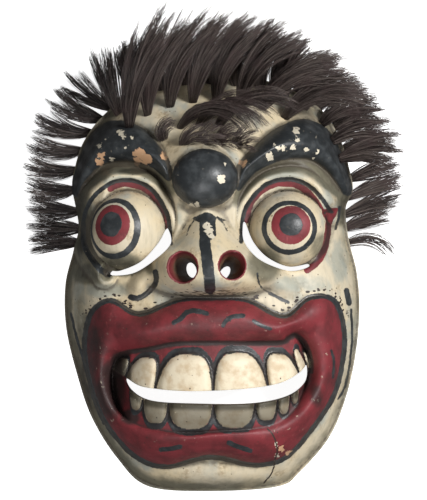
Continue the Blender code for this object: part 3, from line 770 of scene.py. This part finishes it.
def paint_eye(points, black, red, shape):
    """Adds the black ring, the red iris and the black pupil of one eye."""
    pupil, iris, ring_inner, ring_outer = shape.reach
    from_gaze = reach_on_eye(points, shape.centre, shape.radii, shape.gaze)
    from_middle = reach_on_eye(points, shape.centre, shape.radii, shape.ring)
    ring = (ring_outer - ring_inner) / 2 - np.abs(from_middle - (ring_outer + ring_inner) / 2)
    return largest([black, pupil - from_gaze, ring]), np.maximum(red, iris - from_gaze)


def pixel_stroke(points, line, half_width):
    """Depth inside a stroke whose points and half width are pixels of the photograph."""
    return stroke(points, from_pixels(line), half_width / 2)


def paint_lids(points, black, red):
    """Adds the black lines and red rims of the lids, which stop at the eyeballs."""
    lines = [stroke(points, shape.lid, LID_LINE) for shape in EYES]
    lines = largest(lines + [stroke(points, LID_LEFT_SHADOW, LID_SHADOW)])
    rims = largest(pixel_stroke(points, *rim) for rim in LID_RIMS)
    covered = np.any([ellipse_share(points, shape.centre, shape.radii) < 1 for shape in EYES], axis=0)
    black = np.maximum(black, np.where(covered, -PAINT_LIMIT, lines))
    red = np.maximum(red, np.where(covered, -PAINT_LIMIT, rims))
    red = np.maximum(red, pixel_stroke(points, *RED_CORNER_LINE))
    return black, np.maximum(red, depth_inside(points, from_pixels(RED_CORNER)))


def paint_mouth(points, black, red):
    """Adds the red lips and gums and the black around the lips and teeth, and finds the teeth."""
    red = np.maximum(red, depth_inside(points, LIP_OUTER))
    black = np.maximum(black, stroke(points, LIP_OUTER, LIP_LINE, closed=True))
    opening = depth_inside(points, LIP_INNER)
    share, _ = tooth_shape(points)
    tooth = np.where(opening > 0.4, (1 - share) * 3, -PAINT_LIMIT)
    lower = points[:, 1] < bite_height(points)
    outline = np.where(lower, 0.36, 0.30) - np.abs(share - np.where(lower, 1.30, 1.21))
    return np.maximum(black, np.where(opening > 0.1, outline * 3, -PAINT_LIMIT)), red, tooth


def paint_depths(points):
    """Depth of each point inside the black, red and tooth-coloured paint; the black also holds painted shade
    deep in the nostrils.
    """
    depths = [depth_inside(points, shape.brow) for shape in EYES]
    depths.append((1.0 - ellipse_share(points, BALL, BALL_RADII)) * 15)
    depths.extend(pixel_stroke(points, *line) for line in BLACK_STROKES)
    black, red = paint_lids(points, largest(depths), np.full(len(points), -PAINT_LIMIT))
    for shape in EYES:
        black, red = paint_eye(points, black, red, shape)
    # Red around each nostril and on its outer wall; the black deeper in the bore is painted shade
    for front, front_radii, *_ in NOSTRILS:
        share = ellipse_share(points, front, front_radii)
        red = np.maximum(red, (1.09 - share) * front_radii[0])
        black = np.maximum(black, (0.62 - share) * front_radii[0])
    layers = paint_mouth(points, black, red)
    return [np.clip(depth, -PAINT_LIMIT, PAINT_LIMIT) for depth in layers]


def vertex_values(mesh, name):
    values = np.empty(len(mesh.vertices) * 3)
    mesh.vertices.foreach_get(name, values)
    return values.reshape(-1, 3)


def cavity_depth(mesh, rounds=24):
    """How far each point lies below the average of its surroundings, in drawing units."""
    count = len(mesh.vertices)
    place = vertex_values(mesh, "co") / UNIT
    normal = vertex_values(mesh, "normal")
    ends = np.empty(len(mesh.edges) * 2, np.int64)
    mesh.edges.foreach_get("vertices", ends)
    a, b = ends.reshape(-1, 2).T
    degree = np.bincount(a, minlength=count) + np.bincount(b, minlength=count)
    smooth = place.copy()
    for _ in range(rounds):
        total = np.zeros_like(smooth)
        for axis in range(3):
            total[:, axis] = np.bincount(a, smooth[b, axis], count) + np.bincount(b, smooth[a, axis], count)
        smooth = 0.5 * smooth + 0.5 * total / degree[:, None]
    return ((smooth - place) * normal).sum(axis=1)


def add_values(mesh, name, values):
    layer = mesh.attributes.new(name, "FLOAT", "POINT")
    layer.data.foreach_set("value", np.asarray(values, np.float32))


def chip_depths(plan, chips):
    """Depth inside the nearest of many round chips."""
    depths = []
    for x, y, size in chips:
        depths.append(size / 2 - np.hypot(*(plan - from_pixels((x, y))).T))
    return np.maximum(largest(depths), -PAINT_LIMIT)


def stained_and_shaded_teeth(plan, tooth):
    """How dark the teeth are: the lower row, stained, most of all at its biting edge, and those at the left
    corner and left side, whose darkening is painted shade.
    """
    lower = plan[:, 1] < bite_height(plan)
    from_gap = distance_near(plan, smooth_line(MOUTH_GAP), True, 9.0)
    lower_row = lower * (0.74 + 0.26 * soft_step(1 - (from_gap - 1.6) / 2.4))
    corner = 0.85 * soft_step((-40.5 - plan[:, 0]) / 2)
    left = 0.35 * soft_step((-25 - plan[:, 0]) / 14)
    return (tooth > 0) * largest([lower_row, corner, left])


def shade_places(plan, places):
    """Shade that is strongest in the middle of each place."""
    shades = []
    for centre, radii, strength in places:
        share = ellipse_share(plan, from_pixels(centre), np.array(radii) / 2)
        shades.append(strength * soft_step(1.35 * (1 - share)))
    return largest(shades)


def grime_and_painted_shade(plan):
    """Dirty olive paint and painted shade: in its places, painted shade under the brows above the lids, and a
    dark band along the outline, dirty and made heavier on the left as painted shade.
    """
    shades = [shade_places(plan, GRIME_AND_SHADE_PLACES)]
    # Painted shade under each brow, above the lid
    for shape in EYES:
        near_brow = soft_step(1.5 + depth_inside(plan, shape.brow) / 8)
        outside_lid = soft_step(-(depth_inside(plan, shape.lid) + 1.5) / 3)
        shades.append(near_brow * outside_lid * soft_step(1 + depth_inside(plan, shape.socket) / 3))
    # A dirty band along the outline, made heavier on the left as painted shade
    at_outline = soft_step((face_share(plan) - 0.91) / 0.07)
    shades.append(at_outline * np.interp(plan[:, 0], [-30, 30], [1.1, 0.6]))
    return largest(shades)


def painted_deep_shade(plan):
    """Painted deep shade in its places, at the mouth's corners and on the lips, and painted shadow in the
    seam under the upper lip.
    """
    seam = soft_step(1.3 - np.abs(depth_inside(plan, LIP_INNER) - 0.4) / 1.5)
    return np.maximum(shade_places(plan, DEEP_SHADE_PLACES), 1.3 * seam * (plan[:, 1] > -62))


def speck_shade(plan):
    half_width, middle = SPECK_BAND
    above = -depth_inside(plan, LIP_OUTER)
    return soft_step(1 - np.abs(above - middle) / half_width) * (plan[:, 1] > -34)


def paint_mask(piece):
    """Stores on the mesh where each paint and each painted shade lies, for the material to read."""
    mesh = piece.data
    plan = vertex_values(mesh, "co")[:, :2] / UNIT
    black, red, tooth = paint_depths(plan)
    add_values(mesh, "black", black)
    add_values(mesh, "red", red)
    add_values(mesh, "tooth", tooth)
    add_values(mesh, "cavity", cavity_depth(mesh))
    add_values(mesh, "bare", chip_depths(plan, BARE_CHIPS))
    add_values(mesh, "pale", chip_depths(plan, PALE_CHIPS))
    add_values(mesh, "tooth_stain_and_shade", stained_and_shaded_teeth(plan, tooth))
    add_values(mesh, "grime_and_shade", grime_and_painted_shade(plan))
    add_values(mesh, "deep_shade", painted_deep_shade(plan))
    add_values(mesh, "cool", shade_places(plan, COOL_PLACES))
    add_values(mesh, "specks", speck_shade(plan))
    add_values(mesh, "crack", stroke(plan, from_pixels(CRACK), CRACK_WIDTH, reach=3.0))


class Shader:
    """Short calls that add nodes to one material."""

    def __init__(self, name):
        self.material = bpy.data.materials.new(name)
        self.material.use_nodes = True
        self.tree = self.material.node_tree
        self.out = self.tree.nodes["Principled BSDF"]
        coordinates = self.tree.nodes.new("ShaderNodeTexCoord")
        self.place = coordinates.outputs["Object"]

    def put(self, socket, value):
        if isinstance(value, bpy.types.NodeSocket):
            self.tree.links.new(value, socket)
        elif isinstance(value, tuple) and len(value) == 3 and socket.type == "RGBA":
            socket.default_value = (*value, 1.0)
        else:
            socket.default_value = value

    def node(self, kind, *inputs, **settings):
        """A new node with its inputs, given as pairs of a socket and a value, and its settings."""
        node = self.tree.nodes.new("ShaderNode" + kind)
        for name, value in settings.items():
            setattr(node, name, value)
        for socket, value in inputs:
            self.put(node.inputs[socket], value)
        return node

    def math(self, operation, a, b=0.0, clamp=False):
        return self.node("Math", (0, a), (1, b), operation=operation, use_clamp=clamp).outputs[0]

    def scaled(self, value, factor):
        return self.math("MULTIPLY", value, factor)

    def step(self, value, low, high):
        """0 below the low value, 1 above the high one, smooth between."""
        limits = (("From Min", low), ("From Max", high))
        return self.node("MapRange", ("Value", value), *limits, interpolation_type="SMOOTHSTEP").outputs[0]

    def mix(self, factor, a, b):
        return self.node("Mix", (0, factor), (6, a), (7, b), data_type="RGBA").outputs[2]

    def stored(self, name):
        return self.node("Attribute", attribute_name=name).outputs["Fac"]

    def stretched(self, stretch):
        return self.node("Mapping", ("Vector", self.place), ("Scale", stretch)).outputs[0]

    def noise(self, size, detail=3.0, stretch=(1.0, 1.0, 1.0)):
        """Noise between 0 and 1 whose blobs are about the size given, in millimetres."""
        scale = ("Scale", 1000.0 / size)
        place = ("Vector", self.stretched(stretch))
        return self.node("TexNoise", place, scale, ("Detail", detail), ("Roughness", 0.55)).outputs["Fac"]

    def spots(self, size, stretch):
        """Distance from the nearest of many scattered points, as a share of their spacing."""
        place = ("Vector", self.stretched(stretch))
        return self.node("TexVoronoi", place, ("Scale", 1000.0 / size)).outputs["Distance"]

    def swing(self, size, detail, middle, strength):
        """Noise around its middle value, times a strength."""
        return self.scaled(self.math("SUBTRACT", self.noise(size, detail), middle), strength)

    def bump(self, height, strength, distance):
        node = self.node("Bump", ("Height", height), ("Strength", strength), ("Distance", distance))
        self.put(self.out.inputs["Normal"], node.outputs["Normal"])


class PaintShader(Shader):
    """Calls that read the places of paint stored on the mask."""

    def __init__(self, name):
        super().__init__(name)
        self.edge = self.math("ADD", self.swing(4.0, 4.0, 0.5, 1.1), self.swing(0.9, 2.0, 0.5, 0.5))

    def area(self, name):
        """Where a stored depth lies inside its paint, with a worn edge."""
        return self.step(self.math("ADD", self.stored(name), self.edge), -0.16, 0.16)

    def patchy(self, name, size, low, high):
        """A stored shade, broken up by noise."""
        return self.step(self.math("ADD", self.stored(name), self.swing(size, 5.0, 0.5, 1.0)), low, high)

    def chips(self, name, *swing):
        """Where chips have come off, with jagged edges."""
        return self.step(self.math("ADD", self.stored(name), self.swing(*swing)), -0.06, 0.06)


def cream_paint(s):
    """Aged cream paint with streaks, stains, cool patches, dirty olive areas and painted shade."""
    cream = s.mix(s.step(s.noise(22.0, 4.0), 0.40, 0.62), CREAM, CREAM_WARM)
    cream = s.mix(s.step(s.noise(16.0, 5.0, (1.0, 0.5, 1.0)), 0.50, 0.68), cream, CREAM_GREY)
    streaks = s.step(s.noise(2.2, 5.0, (1.0, 0.16, 1.0)), 0.45, 0.75)
    cream = s.mix(s.scaled(streaks, 0.40), cream, CREAM_DARK)
    stains = s.math("MULTIPLY", s.step(s.noise(11.0, 6.0), 0.53, 0.68), s.step(s.noise(1.5, 5.0), 0.38, 0.62))
    cream = s.mix(s.scaled(stains, 0.6), cream, STAIN)
    cream = s.mix(s.scaled(s.patchy("cool", 6.0, 0.3, 0.8), 0.7), cream, CREAM_COOL)
    # Dirty olive areas and painted shade, darkest where strongest
    cream = s.mix(s.scaled(s.patchy("grime_and_shade", 8.0, 0.15, 0.95), 0.9), cream, OLIVE)
    return s.mix(s.scaled(s.patchy("grime_and_shade", 5.0, 0.95, 1.6), 0.9), cream, OLIVE_DARK)


def painted_wood():
    """Worn layers of paint over carved wood, with painted shade, placed by the values stored on the mesh."""
    s = PaintShader("painted_wood")
    teeth = s.mix(s.step(s.noise(6.0, 4.0), 0.42, 0.68), TOOTH, TOOTH_WARM)
    # Stain on the lower teeth, and painted shade on the teeth at the left
    teeth = s.mix(s.stored("tooth_stain_and_shade"), teeth, TOOTH_STAIN_AND_SHADE)
    tooth_area = s.area("tooth")
    colour = s.mix(tooth_area, cream_paint(s), teeth)
    red = s.mix(s.step(s.noise(9.0, 5.0), 0.38, 0.66), RED, RED_DARK)
    red = s.mix(s.step(s.noise(1.3, 3.0, (1.0, 0.3, 1.0)), 0.60, 0.80), red, RED_LIGHT)
    red_area = s.math("SUBTRACT", s.area("red"), tooth_area, clamp=True)
    colour = s.mix(red_area, colour, red)
    # Painted deep shade at the mouth's corners, on the lips and in the seam under the upper lip
    colour = s.mix(s.scaled(s.patchy("deep_shade", 7.0, 0.15, 1.1), 0.9), colour, DEEP_SHADE)
    black = s.mix(s.step(s.noise(5.0, 5.0), 0.42, 0.68), BLACK, BLACK_GREY)
    black_area = s.area("black")
    colour = s.mix(black_area, colour, black)
    pale = s.chips("pale", 1.7, 3.0, 0.56, 5.0)
    colour = s.mix(pale, colour, PALE_CHIP)
    bare = s.chips("bare", 3.2, 4.0, 0.53, 7.0)
    colour = s.mix(bare, colour, BARE_WOOD)
    ridges = s.step(s.scaled(s.stored("cavity"), -1.0), 0.12, 0.5)
    worn = s.math("MULTIPLY", ridges, s.step(s.noise(2.4, 5.0), 0.66, 0.72))
    colour = s.mix(s.scaled(worn, 0.4), colour, WORN)
    # Darker in crevices: dirty brown on the cream, painted shade on the red
    crevice_dirt_and_shade = s.step(s.math("ADD", s.stored("cavity"), s.swing(3.0, 4.0, 0.5, 0.9)), 0.05, 0.9)
    colour = s.mix(s.scaled(crevice_dirt_and_shade, 0.8), colour, s.mix(red_area, DIRT, DEEP_SHADE))
    band = s.scaled(s.stored("specks"), 0.42)
    specks = s.step(s.math("SUBTRACT", band, s.spots(1.9, (0.55, 1.2, 1.0))), -0.03, 0.03)
    pits = s.step(s.math("SUBTRACT", 0.075, s.spots(4.0, (1.0, 0.7, 1.0))), -0.01, 0.01)
    colour = s.mix(s.math("MAXIMUM", specks, pits), colour, PIT)
    crack = s.step(s.stored("crack"), -0.12, 0.05)
    colour = s.mix(crack, colour, PIT)
    wood = s.mix(s.step(s.noise(1.4, 4.0, (1.0, 0.08, 1.0)), 0.35, 0.7), INNER_WOOD, INNER_WOOD_DARK)
    s.put(s.out.inputs["Base Color"], s.mix(s.stored("inner"), colour, wood))
    rough = s.math("ADD", 0.40, s.scaled(s.noise(3.0, 4.0), 0.28))
    s.put(s.out.inputs["Roughness"], s.math("SUBTRACT", rough, s.scaled(black_area, 0.14)))
    s.out.inputs["Specular IOR Level"].default_value = 0.4
    layers = s.math("ADD", s.scaled(black_area, 0.25), s.scaled(s.noise(1.8, 5.0), 0.6))
    missing = s.math("MAXIMUM", s.math("MAXIMUM", pale, bare), s.math("MAXIMUM", specks, crack))
    s.bump(s.math("SUBTRACT", layers, missing), 0.6, 0.0004)
    return s.material


def hair_fibre():
    s = Shader("hair_fibre")
    tone = s.mix(s.step(s.stored("tone"), 0.25, 1.0), HAIR_DARK, HAIR_BROWN)
    tone = s.mix(s.scaled(s.step(s.noise(9.0), 0.45, 0.7), 0.6), tone, HAIR_DULL)
    s.put(s.out.inputs["Base Color"], tone)
    s.out.inputs["Roughness"].default_value = 0.42
    s.out.inputs["Specular IOR Level"].default_value = 0.45
    return s.material


def tuft_path(bend, rise):
    """Points along a tuft of length 1 that leaves its hole straight, then turns and comes down."""
    steps = 40
    share = (np.arange(steps) + 0.5) / steps
    turned = np.clip((share - STRAIGHT_SHARE) / (1 - STRAIGHT_SHARE), 0, 1)
    way = np.radians(bend * turned)
    lift = np.radians(rise * (1 - TUFT_FALL * turned))
    along = np.stack([np.cos(lift) * np.cos(way), np.cos(lift) * np.sin(way), np.sin(lift)], axis=1)
    return np.concatenate([np.zeros((1, 3)), np.cumsum(along, axis=0) / steps])


def tuft_frame(row, index):
    """Root, heading, turn, rise and length of one tuft, in drawing units and degrees."""
    _, count, share, rise, _, _, keys = row
    at = index / max(count - 1, 1) * (len(keys) - 1)
    place, tip_x, tip_y, bend = [np.interp(at, range(len(keys)), values) for values in zip(*keys)]
    angle = math.radians(place)
    reach = outline_radius(angle) * share
    plan = np.array(FACE_CENTRE) + reach * np.array((math.cos(angle), math.sin(angle)))
    end = tuft_path(bend, rise)[-1]
    chord = np.array((tip_x, tip_y)) - plan
    heading = math.degrees(math.atan2(chord[1], chord[0]) - math.atan2(end[1], end[0]))
    length = np.hypot(*chord) / np.hypot(end[0], end[1])
    height = relief(plan[None])[0] if share < 1 else HAIR_ROOT_HEIGHT
    return np.array((*plan, height)), heading, bend, rise, length


def tuft_line(root, heading, bend, rise, length, distances):
    """Points along a tuft at the given distances from its root, which are negative in its hole."""
    path = tuft_path(bend, rise) * length
    turn = math.radians(heading)
    path = path @ np.array([
        (math.cos(turn), math.sin(turn), 0),
        (-math.sin(turn), math.cos(turn), 0),
        (0, 0, 1),
    ])
    reach = np.linspace(0, length, len(path))
    line = [np.interp(np.maximum(distances, 0), reach, path[:, axis]) for axis in range(3)]
    along = path[1] / np.linalg.norm(path[1])
    return root + np.stack(line, axis=1) + np.minimum(distances, 0)[:, None] * along


def strand_tubes(paths, radii, sides=3):
    """Thin closed tubes along many paths at once: points and triangles."""
    count, stations = paths.shape[:2]
    along = unit(np.gradient(paths, axis=1))
    side = unit(np.cross(along, (0.31, 0.17, 0.93)))
    across = np.cross(along, side)
    angles = np.arange(sides) / sides * 2 * math.pi
    ring = side[:, :, None] * np.cos(angles)[:, None] + across[:, :, None] * np.sin(angles)[:, None]
    points = paths[:, :, None] + ring * radii[:, :, None, None]
    start = np.arange(count)[:, None, None] * stations * sides
    level = np.arange(stations - 1)[None, :, None] * sides
    corner = np.arange(sides)[None, None, :]
    after = (corner + 1) % sides
    a = start + level + corner
    b = start + level + after
    walls = np.concatenate([
        np.stack([a, b, b + sides], axis=-1).reshape(-1, 3),
        np.stack([a, b + sides, a + sides], axis=-1).reshape(-1, 3),
    ])
    first = np.arange(count)[:, None] * stations * sides
    root_cap = first + np.array([[0, 2, 1]])
    tip_cap = first + (stations - 1) * sides + np.array([[0, 1, 2]])
    return points.reshape(-1, 3), np.concatenate([walls, root_cap, tip_cap])


def unit(vectors):
    return vectors / np.linalg.norm(vectors, axis=-1)[..., None]


def wisp_paths(line, strands, place, middle, random):
    """Strands around the line of one wisp, each cut to its own length."""
    t = np.linspace(0, 1, STRAND_STATIONS)
    along = unit(np.gradient(line, axis=0))
    side = unit(np.cross(along, (0, 0, 1.0)))
    up = np.cross(side, along)
    angle = random.uniform(0, 2 * math.pi, strands)
    reach = np.sqrt(random.uniform(0, 1, strands))
    u = (reach * np.cos(angle))[:, None]
    v = (reach * np.sin(angle))[:, None]
    tip_width = 0.9 if middle else 1.5 + random.uniform(-0.8, 0.8)
    wide = np.interp(t, [0, 0.3, 0.7, 1], [0.9, 1.7, 1.5 if middle else 2.0, tip_width])
    deep = np.interp(t, [0, 0.3, 1], [0.8, 1.2, 1.3])
    apart = -place * np.interp(t, [0, 0.2], [0.9, 1.3])
    offset = side * apart[:, None] + (u * wide)[..., None] * side + (v * deep)[..., None] * up
    share = np.clip(random.normal(0.95, 0.07, strands), 0.6, 1.03)[:, None] * t
    stray = random.normal(0, 0.5, (strands, 1, 3)) * (t ** 2)[:, None]
    phase = random.uniform(0, 2 * math.pi, (strands, 1))
    wave = random.normal(0, 0.3, (strands, 1, 3)) * (t * np.sin(6 * t + phase))[..., None]
    whole = line + offset + stray + wave
    cut = [[np.interp(share[k], t, whole[k, :, axis]) for axis in range(3)] for k in range(strands)]
    return np.array(cut).transpose(0, 2, 1)


def tuft_paths(frame, count, fan, random):
    """Strands of one tuft, in wisps that fan out from the root, the middle one narrow and longest."""
    root, heading, bend, rise, length = frame
    wisps = max(3, round(count / STRANDS_PER_WISP))
    t = np.linspace(0, 1, STRAND_STATIONS)
    paths = []
    for place in np.linspace(-1, 1, wisps)[random.permutation(wisps)]:
        turn = heading + fan * place + random.normal(0, 0.2 * fan)
        curl = bend + random.normal(0, 6)
        lift = rise + random.normal(0, 5)
        middle = abs(place) < 1.2 / (wisps - 1)
        share = random.uniform(0.98, 1.03) if middle else np.clip(random.normal(0.89, 0.06), 0.74, 0.99)
        reach = t * (length * share + DEPTH_IN_HOLE) - DEPTH_IN_HOLE
        line = tuft_line(root, turn, curl, lift, length * share, reach)
        paths.append(wisp_paths(line, count // wisps, place, middle, random))
    paths = np.concatenate(paths)
    return paths, random.uniform(*STRAND_RADII, len(paths))[:, None] * (1 - 0.6 * t ** 3)


def make_tuft(row, index, material, random):
    name, _, _, _, strands, fan, _ = row
    *start, length = tuft_frame(row, index)
    frame = (*start, length * random.uniform(0.94, 1.02))
    paths, radii = tuft_paths(frame, strands, fan, random)
    paths[:, :, 2] = np.maximum(paths[:, :, 2], LEAST_HEIGHT)
    points, faces = strand_tubes(paths, radii)
    mesh = bpy.data.meshes.new("strands_%s_%02d" % (name, index + 1))
    mesh.from_pydata((points * UNIT).tolist(), [], faces.tolist())
    mesh.shade_smooth()
    tones = random.uniform(0, 1, len(paths))
    add_values(mesh, "tone", np.repeat(tones, len(points) // len(paths)))
    mesh.materials.append(material)
    piece = bpy.data.objects.new(mesh.name, mesh)
    bpy.context.scene.collection.objects.link(piece)
    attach(piece, "root")
    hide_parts("hair_%s_%02d" % (name, index + 1))


def make_hair(material):
    random = np.random.default_rng(SEED)
    for row in HAIR_ROWS:
        for index in range(row[1]):
            make_tuft(row, index, material, random)


def make_floor():
    mesh = bpy.data.meshes.new("floor")
    half = FLOOR_HALF_SIZE
    corners = [(-half, -half, 0), (half, -half, 0), (half, half, 0), (-half, half, 0)]
    mesh.from_pydata(corners, [], [(0, 1, 2, 3)])
    floor = bpy.data.objects.new("floor", mesh)
    floor.location.z = -FLOOR_DROP
    paper = bpy.data.materials.new("white_floor")
    paper.use_nodes = True
    shader = paper.node_tree.nodes["Principled BSDF"]
    shader.inputs["Base Color"].default_value = (0.9, 0.9, 0.9, 1)
    shader.inputs["Roughness"].default_value = 0.9
    shader.inputs["Emission Color"].default_value = (1, 1, 1, 1)
    shader.inputs["Emission Strength"].default_value = FLOOR_GLOW
    mesh.materials.append(paper)
    floor.visible_diffuse = False
    floor.visible_glossy = False
    bpy.context.scene.collection.objects.link(floor)


def make_lights():
    for name, place, size, power in LIGHTS:
        lamp = bpy.data.lights.new(name, "AREA")
        lamp.size = size
        lamp.energy = power
        holder = bpy.data.objects.new(name, lamp)
        holder.location = place
        holder.rotation_euler = (Vector(AIM) - Vector(place)).to_track_quat("-Z", "Y").to_euler()
        bpy.context.scene.collection.objects.link(holder)
    world = bpy.data.worlds.new("soft_room")
    world.use_nodes = True
    backdrop = world.node_tree.nodes["Background"]
    backdrop.inputs["Color"].default_value = (1, 1, 1, 1)
    backdrop.inputs["Strength"].default_value = WORLD_STRENGTH
    bpy.context.scene.world = world


def make_camera():
    """A camera that looks straight down, with the photograph's frame at the middle depth of the mask."""
    lens = bpy.data.cameras.new("camera")
    lens.sensor_fit = "VERTICAL"
    lens.sensor_height = SENSOR
    lens.lens = SENSOR * (CAMERA_HEIGHT - MIDDLE_DEPTH) / (PHOTO_HEIGHT / 2 * UNIT)
    lens.clip_end = 20.0
    camera = bpy.data.objects.new("camera", lens)
    x, y = from_pixels((PHOTO_WIDTH / 2, PHOTO_HEIGHT / 2)) * UNIT
    camera.location = (x, y, CAMERA_HEIGHT)
    scene = bpy.context.scene
    scene.collection.objects.link(camera)
    scene.camera = camera
    scene.view_settings.view_transform = "Standard"


mask = make_mask()
paint_mask(mask)
mask.data.materials.append(painted_wood())
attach(mask, "root")
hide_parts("mask")
make_hair(hair_fibre())
make_floor()
make_lights()
make_camera()
